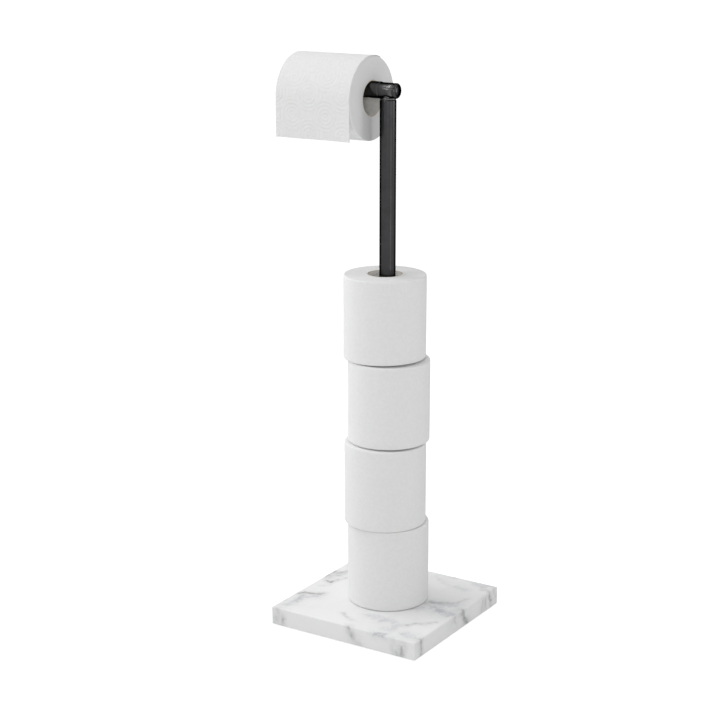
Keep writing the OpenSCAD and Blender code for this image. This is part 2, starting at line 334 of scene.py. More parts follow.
class PaperLook(bpy.types.PropertyGroup):
    """Size and finish of the tissue"""

    white: bpy.props.FloatVectorProperty(
        name="White", description="Colour of the tissue",
        subtype="COLOR", size=4, min=0.0, max=1.0, default=(0.83, 0.83, 0.83, 1.0))
    edge_round: bpy.props.FloatProperty(
        name="Edge Rounding", description="Rounding of a roll's soft edges",
        unit="LENGTH", min=0.0005, max=0.006, default=1.8 * MM)
    ring_pitch: bpy.props.FloatProperty(
        name="Ring Pitch", description="Distance between the pressed rings",
        unit="LENGTH", min=0.001, max=0.02, default=4.3 * MM)
    cell_width: bpy.props.FloatProperty(
        name="Ring Spacing", description="Distance between the centres of the rings",
        unit="LENGTH", min=0.01, max=0.1, default=45 * MM)
    ring_reach: bpy.props.FloatProperty(
        name="Ring Reach", description="Radius of the largest ring round a centre",
        unit="LENGTH", min=0.005, max=0.05, default=20 * MM)
    emboss: bpy.props.FloatProperty(
        name="Emboss Depth", description="Depth of the pressed rings on the roll in use",
        unit="LENGTH", min=0.0, max=0.001, default=0.22 * MM)
    ply: bpy.props.FloatProperty(
        name="Sheet Thickness", description="Thickness of one sheet of tissue",
        unit="LENGTH", min=0.0001, max=0.001, default=0.22 * MM)
    sheet_length: bpy.props.FloatProperty(
        name="Sheet Length", description="Length of one sheet between its perforations",
        unit="LENGTH", min=0.08, max=0.2, default=140 * MM)
    drop: bpy.props.FloatProperty(
        name="Drop", description="How far the loose end hangs below the roll's middle",
        unit="LENGTH", min=0.01, max=0.07, default=45 * MM)
    steps: bpy.props.IntProperty(
        name="Steps Round", description="Segments round a roll", min=24, max=360, default=160)


class StageLook(bpy.types.PropertyGroup):
    """Camera and lamps"""

    azimuth: bpy.props.FloatProperty(
        name="Azimuth", description="Direction that the camera looks in, 0 along +Y",
        subtype="ANGLE", default=math.radians(32.36))
    elevation: bpy.props.FloatProperty(
        name="Elevation", description="Height of the camera above the horizon",
        subtype="ANGLE", default=math.radians(15.0))
    distance: bpy.props.FloatProperty(
        name="Distance", description="From the camera to the point it looks at",
        unit="LENGTH", min=0.1, default=2.0431)
    lens: bpy.props.FloatProperty(
        name="Lens", description="Focal length in millimetres",
        unit="CAMERA", min=10.0, default=86.43)
    aim_side: bpy.props.FloatProperty(
        name="Aim Side", description="How far right of the post the camera looks",
        unit="LENGTH", default=-29.5 * MM)
    aim_height: bpy.props.FloatProperty(
        name="Aim Height", description="Height of the point that the camera looks at",
        unit="LENGTH", default=319.3 * MM)
    ambient: bpy.props.FloatProperty(
        name="Ambient", description="Strength of the even light", min=0.0, default=0.43)
    lean: bpy.props.FloatVectorProperty(
        name="Lean", description="Side from which the even light is stronger, and by how much",
        subtype="XYZ", size=3, default=(-0.3, 0.0, 0.28))
    lamps: bpy.props.FloatProperty(
        name="Lamps", description="Factor on the power of every lamp",
        subtype="FACTOR", min=0.0, max=4.0, default=1.0)
    glow: bpy.props.FloatProperty(
        name="Floor Glow", description="Own light of the white floor, as the camera sees it",
        subtype="FACTOR", min=0.0, max=1.0, default=0.86)


# Shader nodes

def add(tree, kind, **settings):
    """A new shader node of that kind, with its settings."""
    made = tree.nodes.new("ShaderNode" + kind)
    for key, value in settings.items():
        setattr(made, key, value)
    return made


def feed(tree, made, **inputs):
    """Sets or links a node's inputs by name, with _ for a blank, or by number, as i0."""
    for key, value in inputs.items():
        number = key[1:]
        socket = made.inputs[int(number) if number.isdigit() else key.replace("_", " ")]
        if isinstance(value, bpy.types.NodeSocket):
            tree.links.new(value, socket)
        else:
            socket.default_value = value
    return made


def maths(tree, operation, first, second=0.0, third=0.0, clamp=False):
    """The result of a Math node."""
    made = add(tree, "Math", operation=operation, use_clamp=clamp)
    return feed(tree, made, i0=first, i1=second, i2=third).outputs[0]


def vector_maths(tree, operation, first, second=(0, 0, 0), scale=None):
    """A Vector Math node, with a second vector or a scale."""
    made = add(tree, "VectorMath", operation=operation)
    feed(tree, made, i0=first)
    if scale is not None:
        feed(tree, made, Scale=scale)
    else:
        feed(tree, made, i1=second)
    return made


def blend_colours(tree, factor, first, second):
    """The first colour where factor is 0, the second where it is 1."""
    made = add(tree, "Mix", data_type="RGBA")
    return feed(tree, made, i0=factor, i6=first, i7=second).outputs[2]


def ramp_between(tree, value, low, high, to_low=0.0, to_high=1.0):
    """A smooth step from to_low to to_high, as value goes from low to high."""
    made = add(tree, "MapRange", interpolation_type="SMOOTHSTEP")
    return feed(tree, made, i0=value, i1=low, i2=high, i3=to_low, i4=to_high).outputs[0]


def cloud_noise(tree, vector, scale, detail, roughness):
    """A Noise Texture node."""
    made = add(tree, "TexNoise")
    return feed(tree, made, Vector=vector, Scale=scale, Detail=detail, Roughness=roughness)


def bump(tree, **inputs):
    """The normal that a Bump node gives."""
    return feed(tree, add(tree, "Bump"), **inputs).outputs[0]


def object_coordinates(tree):
    """The place on the object, in its own space."""
    return add(tree, "TexCoord").outputs["Object"]


def shade(colour, share):
    """The same colour, sending back only a share of the light."""
    return tuple(part * share for part in colour[:3]) + (1.0,)


def seen_directly(tree):
    """1 for what the camera sees, also in a mirror or through glass, and 0 for the rest."""
    path = add(tree, "LightPath")
    seen = maths(tree, "MAXIMUM", path.outputs["Is Camera Ray"], path.outputs["Is Glossy Ray"])
    return maths(tree, "MAXIMUM", seen, path.outputs["Is Transmission Ray"])


def material(name):
    """A new material with its Principled shader."""
    made = bpy.data.materials.new(name)
    made.use_nodes = True
    return made, made.node_tree, made.node_tree.nodes["Principled BSDF"]


def group(name, inputs, outputs):
    """An empty node group with named sockets, and its two ends."""
    made = bpy.data.node_groups.new(name, "ShaderNodeTree")
    for label, kind, value in inputs:
        socket = made.interface.new_socket(label, in_out="INPUT", socket_type="NodeSocket" + kind)
        socket.default_value = value
    for label, kind in outputs:
        made.interface.new_socket(label, in_out="OUTPUT", socket_type="NodeSocket" + kind)
    return made, made.nodes.new("NodeGroupInput").outputs, made.nodes.new("NodeGroupOutput")


def stroke_group():
    """Adds a straight stroke to a mask: full on it, with a faint halo past its width.

    Where it crosses the strokes before, they push it aside a little. Each stroke then waits
    for the one before, which keeps the shader small enough for any number of them.
    """
    made, given, end = group(
        "Vein Stroke",
        (("Vector", "Vector", (0, 0, 0)), ("Before", "Float", 0.0), ("Start", "Vector", (0, 0, 0)),
         ("End", "Vector", (0, 0, 0)), ("Width", "Float", 0.003), ("Strength", "Float", 1.0)),
        (("Mask", "Float"),))
    along = vector_maths(made, "SUBTRACT", given["End"], given["Start"]).outputs[0]
    push = vector_maths(made, "SCALE", CROSSING_PUSH, scale=given["Before"]).outputs[0]
    pushed = vector_maths(made, "ADD", given["Vector"], push).outputs[0]
    away = vector_maths(made, "SUBTRACT", pushed, given["Start"]).outputs[0]
    reach = vector_maths(made, "DOT_PRODUCT", away, along).outputs["Value"]
    length = vector_maths(made, "DOT_PRODUCT", along, along).outputs["Value"]
    share = maths(made, "DIVIDE", reach, length, clamp=True)
    nearest = vector_maths(made, "SCALE", along, scale=share).outputs[0]
    gap = vector_maths(made, "DISTANCE", away, nearest).outputs["Value"]
    near = ramp_between(made, gap, 0.0, given["Width"], 1.0, 0.0)
    halo_width = maths(made, "MULTIPLY", given["Width"], HALO_WIDTH)
    halo = ramp_between(made, gap, 0.0, halo_width, HALO_SHARE, 0.0)
    soft = maths(made, "MULTIPLY_ADD", near, 1.0 - HALO_SHARE, halo)
    mask = maths(made, "MULTIPLY", soft, given["Strength"])
    feed(made, end, Mask=maths(made, "MAXIMUM", mask, given["Before"]))
    return made


def grain_group():
    """Fine uneven grain: a height for bump and a tone for colour and roughness."""
    made, given, end = group(
        "Fine Grain",
        (("Vector", "Vector", (0, 0, 0)), ("Scale", "Float", 900.0), ("Drift", "Float", 40.0)),
        (("Height", "Float"), ("Tone", "Float")))
    vector = given["Vector"]
    fine = cloud_noise(made, vector, given["Scale"], detail=4.0, roughness=0.6).outputs[0]
    broad = cloud_noise(made, vector, given["Drift"], detail=2.0, roughness=0.5).outputs[0]
    feed(made, end, Height=fine, Tone=ramp_between(made, broad, low=0.3, high=0.7))
    return made


def emboss_group():
    """Nested rings pressed into paper, round the points of two grids that overlap."""
    made, given, end = group(
        "Pressed Rings",
        (("Vector", "Vector", (0, 0, 0)), ("Spacing", "Float", 0.045), ("Pitch", "Float", 0.0043),
         ("Reach", "Float", 0.02)),
        (("Height", "Float"),))
    cell = maths(made, "MULTIPLY", given["Spacing"], 0.5)
    fade = maths(made, "MULTIPLY_ADD", given["Pitch"], -RING_FADE, given["Reach"])
    heights = []
    for shift in (0.0, 0.5):
        offset = add(made, "CombineXYZ")
        step = maths(made, "MULTIPLY", given["Spacing"], shift)
        feed(made, offset, X=step, Y=step)
        moved = vector_maths(made, "ADD", given["Vector"], offset.outputs[0]).outputs[0]
        parts = add(made, "SeparateXYZ")
        feed(made, parts, Vector=moved)
        across = maths(made, "PINGPONG", parts.outputs["X"], cell)
        down = maths(made, "PINGPONG", parts.outputs["Y"], cell)
        square = maths(made, "ADD", maths(made, "POWER", across, 2.0), maths(made, "POWER", down, 2.0))
        distance = maths(made, "SQRT", square)
        turns = maths(made, "DIVIDE", distance, given["Pitch"])
        wave = maths(made, "COSINE", maths(made, "MULTIPLY", turns, 2 * math.pi))
        inside = ramp_between(made, distance, fade, given["Reach"], 1.0, 0.0)
        raised = maths(made, "MULTIPLY_ADD", wave, 0.5, 0.5)
        heights.append(maths(made, "MULTIPLY", raised, inside))
    feed(made, end, Height=maths(made, "MAXIMUM", *heights))
    return made


def place_group(tree, made, **inputs):
    """A node group set down in a tree, with its inputs."""
    placed = add(tree, "Group", node_tree=made)
    return feed(tree, placed, **inputs)


def wandering(tree, vector, scale, reach):
    """The same coordinates, pushed about by noise as far as reach."""
    push = cloud_noise(tree, vector, scale, detail=3.0, roughness=0.6).outputs["Color"]
    centred = vector_maths(tree, "SUBTRACT", push, (0.5, 0.5, 0.5)).outputs[0]
    moved = vector_maths(tree, "SCALE", centred, scale=reach).outputs[0]
    return vector_maths(tree, "ADD", vector, moved).outputs[0]


def course_on(face, low, high):
    """A function from a place on one of the slab's faces, in millimetres, to space."""
    return {
        "top": lambda a, b: Vector((a * MM, b * MM, high.z)),
        "front": lambda a, b: Vector((a * MM, low.y, b * MM)),
        "right": lambda a, b: Vector((high.x, a * MM, b * MM)),
        "back": lambda a, b: Vector((a * MM, high.y, b * MM)),
        "left": lambda a, b: Vector((low.x, a * MM, b * MM)),
    }[face]


def strokes_of(courses, low, high):
    """Each course as straight strokes: start, end, width and strength."""
    strokes = []
    for face, rows in courses.items():
        place = course_on(face, low, high)
        for width, strength, *points in rows:
            for start, end in zip(points, points[1:]):
                strokes.append((place(*start), place(*end), width * MM, strength))
    return strokes


def stroke_mask(tree, stroke, vector, strokes):
    """One mask of all the strokes, each laid over the ones before it."""
    mask = 0.0
    for start, end, width, strength in strokes:
        laid = place_group(tree, stroke, Vector=vector, Before=mask, Start=start, End=end,
                           Width=width, Strength=strength)
        mask = laid.outputs[0]
    return mask


def stone_material(look, stroke, grain, low, high):
    """White stone with grey-green veins over blue-grey clouds, some of them also painted shadow of the
    rolls.
    """
    made, tree, shader = material("veined_stone")
    here = object_coordinates(tree)
    bent = here
    for scale, reach in VEIN_BENDS:
        bent = wandering(tree, bent, scale, reach)
    veins = stroke_mask(tree, stroke, bent, strokes_of(VEINS, low, high))
    billowed = wandering(tree, bent, *CLOUD_BEND)
    # The cloud mask also holds painted shadow of the rolls, right of the lowest roll.
    clouds = stroke_mask(tree, stroke, billowed, strokes_of(CLOUDS_AND_ROLL_SHADOW, low, high))
    patches = cloud_noise(tree, bent, *PATCHES).outputs[0]
    veined = maths(tree, "MULTIPLY", veins, ramp_between(tree, patches, *VEIN_BREAK))
    cloudy_and_shaded = maths(tree, "MULTIPLY", clouds, ramp_between(tree, patches, *CLOUD_BREAK))
    haze = ramp_between(tree, cloud_noise(tree, bent, *MIST).outputs[0], *HAZE)
    hazy = blend_colours(tree, haze, look.ground, look.cloud)
    clouded_and_shaded = blend_colours(tree, cloudy_and_shaded, hazy, look.cloud)
    coloured = blend_colours(tree, veined, clouded_and_shaded, look.vein)
    fine = place_group(tree, grain, Vector=here, Scale=1400.0, Drift=60.0)
    gloss = maths(tree, "MULTIPLY_ADD", fine.outputs["Tone"], STONE_ROUGHER, look.roughness)
    normal = bump(tree, Height=fine.outputs["Height"], Strength=0.35, Distance=0.02 * MM)
    feed(tree, shader, Base_Color=coloured, Roughness=gloss, Normal=normal, Specular_IOR_Level=0.35)
    return made


def black_material(name, look, coat, grain):
    """Satin black coat with a faint orange peel, and a painted dark reflection at its rims instead of a
    pale rim.
    """
    made, tree, shader = material(name)
    here = object_coordinates(tree)
    fine = place_group(tree, grain, Vector=here, Scale=1800.0, Drift=90.0)
    gloss = maths(tree, "MULTIPLY_ADD", fine.outputs["Tone"], COAT_ROUGHER, look.roughness)
    toned = blend_colours(tree, fine.outputs["Tone"], coat, shade(coat, COAT_SHADE))
    # Painted dark reflection: towards its rims the coat takes the edge colour.
    facing = add(tree, "LayerWeight")
    feed(tree, facing, Blend=0.5)
    painted_dark_rim = ramp_between(tree, facing.outputs["Facing"], *COAT_PAINTED_RIM)
    colour = blend_colours(tree, painted_dark_rim, toned, look.edge)
    normal = bump(tree, Height=fine.outputs["Height"], Strength=0.25, Distance=0.012 * MM)
    feed(tree, shader, Base_Color=colour, Metallic=1.0, Roughness=gloss, Normal=normal,
         Specular_Tint=(0.0, 0.0, 0.0, 1.0))
    return made


def plain_material(name, finish, grain):
    """A finish with its grain in colour, roughness and bump."""
    colour, roughness, metallic, scale, depth = finish
    made, tree, shader = material(name)
    fine = place_group(tree, grain, Vector=object_coordinates(tree), Scale=scale, Drift=scale / 12)
    toned = blend_colours(tree, fine.outputs["Tone"], colour, shade(colour, GRAIN_SHADE))
    gloss = maths(tree, "MULTIPLY_ADD", fine.outputs["Height"], GRAIN_ROUGHER, roughness)
    normal = bump(tree, Height=fine.outputs["Height"], Strength=0.6, Distance=depth)
    feed(tree, shader, Base_Color=toned, Roughness=gloss, Metallic=metallic, Normal=normal)
    return made


def card_material(name, centre, turn, length, grain):
    """Pale grey board wound in a spiral, with a faint seam and raw tan ends."""
    made, tree, shader = material(name)
    placed = add(tree, "Mapping", vector_type="TEXTURE")
    feed(tree, placed, Vector=object_coordinates(tree), Location=centre, Rotation=turn)
    parts = add(tree, "SeparateXYZ")
    feed(tree, parts, Vector=placed.outputs[0])
    angle = maths(tree, "ARCTAN2", parts.outputs["Y"], parts.outputs["X"])
    turned = maths(tree, "DIVIDE", angle, 2 * math.pi)
    rise = maths(tree, "DIVIDE", parts.outputs["Z"], SEAM_RISE)
    spiral = maths(tree, "FRACT", maths(tree, "ADD", rise, turned))
    off_seam = maths(tree, "ABSOLUTE", maths(tree, "SUBTRACT", spiral, 0.5))
    seam = ramp_between(tree, off_seam, 0.0, SEAM_SHARE, 1.0, 0.0)
    from_middle = maths(tree, "ABSOLUTE", parts.outputs["Z"])
    raw = ramp_between(tree, from_middle, *(length / 2 - depth for depth in CARD_CUT))
    fine = place_group(tree, grain, Vector=placed.outputs[0], Scale=1100.0, Drift=160.0)
    toned = blend_colours(tree, fine.outputs["Tone"], CARD_PALE, CARD_GREY)
    lined = blend_colours(tree, maths(tree, "MULTIPLY", seam, SEAM_TINT), toned, CARD_SEAM)
    coloured = blend_colours(tree, raw, lined, CARD_RAW)
    dent = maths(tree, "MULTIPLY", seam, SEAM_DEPTH)
    high = maths(tree, "SUBTRACT", fine.outputs["Height"], dent)
    normal = bump(tree, Height=high, Strength=0.6, Distance=0.06 * MM)
    feed(tree, shader, Base_Color=coloured, Roughness=0.9, Normal=normal, Specular_IOR_Level=0.2)
    return made


def tissue_material(name, look, rings, grain, depth, length, end_shade_share):
    """Soft tissue with a fibrous surface and pressed rings, which stop at its wound ends.

    The ends take painted shade between their layers: they send back a given share of what the face
    does.
    """
    made, tree, shader = material(name)
    sheet = add(tree, "UVMap", uv_map="sheet").outputs[0]
    parts = add(tree, "SeparateXYZ")
    feed(tree, parts, Vector=sheet)
    from_middle = maths(tree, "ABSOLUTE", maths(tree, "SUBTRACT", parts.outputs["Y"], length / 2))
    low, high = (length / 2 + past for past in FACE_EDGE)
    on_face = ramp_between(tree, from_middle, low, high, 1.0, 0.0)
    pressed = place_group(tree, rings, Vector=sheet, Spacing=look.cell_width,
                          Pitch=look.ring_pitch, Reach=look.ring_reach)
    here = object_coordinates(tree)
    fine = place_group(tree, grain, Vector=here, Scale=1500.0, Drift=260.0)
    soft = place_group(tree, grain, Vector=here, Scale=240.0, Drift=30.0)
    fibrous = maths(tree, "MULTIPLY", fine.outputs["Tone"], FIBRE_TINT)
    toned = blend_colours(tree, fibrous, look.white, shade(look.white, FIBRE_SHADE))
    # Painted shade on the wound ends, between their layers.
    coloured = blend_colours(tree, on_face, shade(look.white, end_shade_share), toned)
    raised = maths(tree, "MULTIPLY", pressed.outputs[0], on_face)
    ringed = bump(tree, Height=raised, Strength=1.0, Distance=depth)
    creased = bump(tree, Height=soft.outputs["Height"], Strength=0.35, Distance=0.18 * MM,
                   Normal=ringed)
    normal = bump(tree, Height=fine.outputs["Height"], Strength=0.5, Distance=0.06 * MM,
                  Normal=creased)
    feed(tree, shader, Base_Color=coloured, Roughness=0.95, Normal=normal, Specular_IOR_Level=0.15)
    return made


def finish_nodes(names, made):
    """Gives CAD nodes their material."""
    for name in names:
        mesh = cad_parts[name].data
        mesh.materials.clear()
        mesh.materials.append(made)


# Pieces

def axis_of(node):
    """Centre, half width and length of a roll that stands along Z."""
    low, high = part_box(node)
    return (low + high) / 2, (high.x - low.x) / 2, high.z - low.z


def end_profile(bm, bore, radius, length, rounding):
    """The outline of a roll's wall in the XZ plane, with fine rings on both ends."""
    outline = ((bore, 0), (radius, 0), (radius, length), (bore, length))
    corners = [bm.verts.new((x, 0, z)) for x, z in outline]
    bm.faces.new(corners)
    bmesh.ops.bevel(
        bm, geom=corners[1:3], offset=rounding, offset_type="OFFSET", segments=EDGE_SEGMENTS,
        profile=0.5, affect="VERTICES", material=-1, clamp_overlap=True)
    bmesh.ops.delete(bm, geom=bm.faces[:], context="FACES_ONLY")
    ends = [e for e in bm.edges if abs(e.verts[0].co.z - e.verts[1].co.z) < TINY]
    upright = [e for e in bm.edges if e.calc_length() > length / 2]
    face = [e for e in upright if min(v.co.x for v in e.verts) > (bore + radius) / 2]
    cut = bmesh.ops.subdivide_edges(bm, edges=ends, cuts=2 * END_RINGS - 1)
    inner = [v for v in cut["geom_inner"] if isinstance(v, bmesh.types.BMVert)]
    step = (radius - rounding - bore) / (2 * END_RINGS)
    for vert in inner:
        if round((vert.co.x - bore) / step) % 2:
            vert.co.z += END_RING_DEPTH if vert.co.z < length / 2 else -END_RING_DEPTH
    bmesh.ops.subdivide_edges(bm, edges=face, cuts=FACE_CUTS)


def wind(bm, steps, ply, bore, radius, cover):
    """Spins the outline round Z, winding outwards by one sheet, and closes it.

    Over the first angle, cover, the winding stays one sheet low for the sheet on top.
    """
    bmesh.ops.spin(
        bm, geom=bm.verts[:] + bm.edges[:], cent=(0, 0, 0), axis=(0, 0, 1), dvec=(0, 0, 0),
        angle=2 * math.pi - CLOSING_GAP, steps=steps, use_merge=False, use_duplicate=False)
    for vert in bm.verts:
        angle = (math.atan2(vert.co.y, vert.co.x) + TINY) % (2 * math.pi)
        width = math.hypot(vert.co.x, vert.co.y)
        share = max(0.0, width - bore) / (radius - bore)
        inward = ply * share * min(1.0, (2 * math.pi - angle) / (2 * math.pi - cover))
        scale = (width - inward) / width
        vert.co.x *= scale
        vert.co.y *= scale
    open_edges = [e for e in bm.edges if e.is_boundary]
    bmesh.ops.bridge_loops(bm, edges=open_edges)


def ruffle(bm, bore, radius, length, seed, sunk, gapes, side):
    """Makes a wound roll slightly uneven, as soft paper is, and lets its ends gape."""
    shift = Vector([seed * step for step in SEED_STEPS])
    for vert in bm.verts:
        width = math.hypot(vert.co.x, vert.co.y)
        share = min(1.0, max(0.0, (width - bore) / (radius - bore)))
        out = Vector((vert.co.x, vert.co.y, 0)) / width
        lump = sum(noise.noise(vert.co * scale + shift) * height for scale, height in LUMPS)
        vert.co += out * (lump - sunk) * share * share
        end = 1 if vert.co.z > length / 2 else -1
        near = max(0.0, abs(vert.co.z - length / 2) - length / 2 + SOFT_REACH) / SOFT_REACH
        angle = math.atan2(out.y, out.x)
        layers = noise.noise(Vector((width * LAYER_SCALE, angle * LAYER_DRIFT, end)) + shift)
        gape = gapes[end > 0] * max(0.0, math.cos(angle - side))
        vert.co.z -= end * (END_DIP + layers * LAYER_DEPTH + gape) * share * near ** 2


def lay_uv(bm, radius):
    """A map in metres: round the roll, and along it."""
    layer = bm.loops.layers.uv.new("sheet")
    for face in bm.faces:
        middle = face.calc_center_median()
        centre_angle = math.atan2(middle.y, middle.x) % (2 * math.pi)
        for loop in face.loops:
            co = loop.vert.co
            angle = math.atan2(co.y, co.x) % (2 * math.pi)
            if angle - centre_angle > math.pi:
                angle -= 2 * math.pi
            elif centre_angle - angle > math.pi:
                angle += 2 * math.pi
            flat = abs(face.normal.z) > END_UPRIGHT
            depth = radius - math.hypot(co.x, co.y) if flat else 0.0
            end = depth if co.z > radius else -depth
            loop[layer].uv = (angle * radius, co.z + end)


def finished_mesh(bm, name, place, body, made):
    """Turns a bmesh into a placed, shaded piece that rides on a body."""
    bmesh.ops.transform(bm, matrix=place, verts=bm.verts)
    bmesh.ops.recalc_face_normals(bm, faces=bm.faces)
    for face in bm.faces:
        face.smooth = True
    for edge in bm.edges:
        edge.smooth = len(edge.link_faces) == 2 and edge.calc_face_angle(0) < SHARP
    mesh = bpy.data.meshes.new(name)
    bm.to_mesh(mesh)
    bm.free()
    mesh.materials.append(made)
    piece = bpy.data.objects.new(name, mesh)
    bpy.context.scene.collection.objects.link(piece)
    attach(piece, body)
    return piece


def wound_roll(name, node, body, place, sizes, cover, seed, made, sunk, gapes=(0.0, 0.0), side=0.0):
    """A roll of tissue in place of its CAD winding, whose ends gape towards the angle side."""
    look = bpy.context.scene.holder_paper
    bore, radius, length = sizes
    bm = bmesh.new()
    end_profile(bm, bore, radius, length, look.edge_round)
    wind(bm, look.steps, look.ply, bore, radius, cover)
    bmesh.ops.recalc_face_normals(bm, faces=bm.faces)
    lay_uv(bm, radius)
    ruffle(bm, bore, radius, length, seed, sunk, gapes, side)
    piece = finished_mesh(bm, name, place, body, made)
    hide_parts(node)


def hanging_winding():
    """Corners of the roll in use, which lies along X over the arm, and its radius."""
    low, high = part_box("hanging_paper")
    return low, high, (high.y - low.y) / 2


def sheet_cover(look, radius):
    """The angle of the roll that the last sheet covers before it hangs free."""
    return (look.sheet_length - look.drop) / (radius - look.ply / 2)


def bore_round(core_node):
    """The inner radius of the winding round a core."""
    low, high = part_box(core_node)
    return (high.y - low.y) / 2 + CORE_CLEARANCE


def lamp(name, place, aim, size, power):
    """A soft area lamp that points at a place."""
    data = bpy.data.lights.new(name, "AREA")
    data.shape = "RECTANGLE"
    data.size, data.size_y = size
    data.energy = power
    made = bpy.data.objects.new(name, data)
    made.location = place
    made.rotation_euler = (Vector(aim) - Vector(place)).to_track_quat("-Z", "Y").to_euler()
    bpy.context.scene.collection.objects.link(made)


class HOLDER_OT_slab(bpy.types.Operator):
    """Finish the stone slab and the non-slip sheet under it"""

    bl_idname = "holder.slab"
    bl_label = "Stone Slab"

    def execute(self, context):
        look, grain = context.scene.holder_stone, GROUPS["grain"]
        stone = stone_material(look, GROUPS["stroke"], grain, *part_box("base_slab"))
        finish_nodes(["base_slab"], stone)
        finish_nodes(["base_mat"], plain_material("dark_foam", FOAM, grain))
        return {"FINISHED"}


class HOLDER_OT_metalwork(bpy.types.Operator):
    """Finish the post, the arm with its caps, and the small fixings"""

    bl_idname = "holder.metalwork"
    bl_label = "Metalwork"

    def execute(self, context):
        grain, look = GROUPS["grain"], context.scene.holder_metal
        finish_nodes(BLACK_NODES, black_material("satin_black", look, look.black, grain))
        # Painted light: the arm and its elbow take the lighter copy of the black coat.
        finish_nodes(ARM_NODES, black_material("satin_black_arm_painted_lighter", look, look.arm_black_painted_lighter, grain))
        finish_nodes(STEEL_NODES, plain_material("zinc_plate", ZINC, grain))
        finish_nodes(PLASTIC_NODES, plain_material("black_plastic", PLASTIC, grain))
        return {"FINISHED"}


class HOLDER_OT_cores(bpy.types.Operator):
    """Finish the cardboard cores"""

    bl_idname = "holder.cores"
    bl_label = "Card Cores"

    def execute(self, context):
        for count in SPARES:
            node = f"spare_core_{count}"
            centre, _, length = axis_of(node)
            card = card_material(f"wound_card_{count}", centre, (0, 0, 0), length, GROUPS["grain"])
            finish_nodes([node], card)
        low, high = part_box("hanging_core")
        middle, turned = (low + high) / 2, (0, math.radians(90), 0)
        card = card_material("wound_card_in_use", middle, turned, high.x - low.x, GROUPS["grain"])
        finish_nodes(["hanging_core"], card)
        return {"FINISHED"}


class HOLDER_OT_spare_rolls(bpy.types.Operator):
    """Model the tissue of the four stored rolls"""

    bl_idname = "holder.spare_rolls"
    bl_label = "Stored Rolls"

    def execute(self, context):
        look = context.scene.holder_paper
        length = axis_of("spare_paper_1")[2]
        made = tissue_material("stored_tissue", look, GROUPS["rings"], GROUPS["grain"],
                               look.emboss * STORED_EMBOSS_SHARE, length, STORED_END_SHADE_SHARE)
        for count in SPARES:
            node = f"spare_paper_{count}"
            centre, radius, length = axis_of(node)
            base = centre - Vector((0, 0, length / 2))
            turned = math.radians(FIRST_TURN + NEXT_TURN * (count - 1))
            place = Matrix.Translation(base) @ Matrix.Rotation(turned, 4, "Z")
            sizes = (bore_round(f"spare_core_{count}"), radius, length)
            wound_roll(f"spare_tissue_{count}", node, f"spare_roll_{count}", place, sizes, 0.0,
                       count, made, STORED_SUNK, GAPES[count], GAPE_SIDE - turned)
        return {"FINISHED"}


class HOLDER_OT_hanging_roll(bpy.types.Operator):
    """Model the tissue of the roll in use"""

    bl_idname = "holder.hanging_roll"
    bl_label = "Roll in Use"

    def execute(self, context):
        look = context.scene.holder_paper
        low, high, radius = hanging_winding()
        length = high.x - low.x
        made = tissue_material("tissue_in_use", look, GROUPS["rings"], GROUPS["grain"],
                               look.emboss, length, HANGING_END_SHADE_SHARE)
        end = Vector((low.x, 0, high.z - radius))
        cover = sheet_cover(look, radius)
        # Laid along X, the winding starts where the last sheet joins the one before.
        laid = Matrix.Rotation(math.radians(90), 4, "Y")
        place = Matrix.Translation(end) @ (Matrix.Rotation(math.pi / 2 - cover, 4, "X") @ laid)
        sizes = (bore_round("hanging_core"), radius, length)
        wound_roll("hanging_tissue", "hanging_paper", "hanging_roll", place, sizes, cover,
                   HANGING_SEED, made, HANGING_SUNK)
        return {"FINISHED"}


class HOLDER_OT_loose_end(bpy.types.Operator):
    """Lay the last sheet over the roll in use and let its end hang"""

    bl_idname = "holder.loose_end"
    bl_label = "Loose End"

    def execute(self, context):
        look = context.scene.holder_paper
        low, high, radius = hanging_winding()
        width = high.x - low.x
        centre = Vector(((low.x + high.x) / 2, 0, high.z - radius))
        cover = sheet_cover(look, radius)
        start = math.pi - cover
        bm = bmesh.new()
        along, across = SHEET_GRID
        bmesh.ops.create_grid(bm, x_segments=across, y_segments=along, size=0.5)
        layer = bm.loops.layers.uv.new("sheet")
        for face in bm.faces:
            for loop in face.loops:
                co = loop.vert.co
                loop[layer].uv = ((0.5 - co.y) * look.sheet_length, (co.x + 0.5) * width)
        for vert in bm.verts:
            self.bend(vert, look, width, start, radius, centre)
        bmesh.ops.recalc_face_normals(bm, faces=bm.faces)
        bm.faces.ensure_lookup_table()
        first = bm.faces[len(bm.faces) // 2]
        if first.normal.dot(first.calc_center_median() - centre) < 0:
            bmesh.ops.reverse_faces(bm, faces=bm.faces)
        bmesh.ops.solidify(bm, geom=bm.faces[:], thickness=look.ply * SHEET_SHARE)
        made = bpy.data.materials["tissue_in_use"]
        piece = finished_mesh(bm, "loose_end", Matrix.Identity(4), "hanging_roll", made)
        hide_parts("hanging_paper")
        return {"FINISHED"}

    def bend(self, vert, look, width, start, radius, centre):
        """Moves a point of the flat sheet to its place over the roll."""
        side = vert.co.x
        run = (0.5 - vert.co.y) * look.sheet_length
        curved = look.sheet_length - look.drop
        if vert.co.y < -0.5 + TINY:
            run += TOOTH_HEIGHT * math.sin(side * 2 * math.pi * TEETH)
        if run <= curved:
            angle = start + run / curved * (math.pi - start)
            y, z = math.cos(angle) * radius, math.sin(angle) * radius
        else:
            fall = run - curved
            down = fall / look.drop
            sway = SWAY * math.sin(side * SWAY_WAVE + SWAY_START) * down ** 1.5
            y, z = sway + KICK * down ** 2 - radius, -fall
        vert.co = centre + Vector((side * width, y, z))


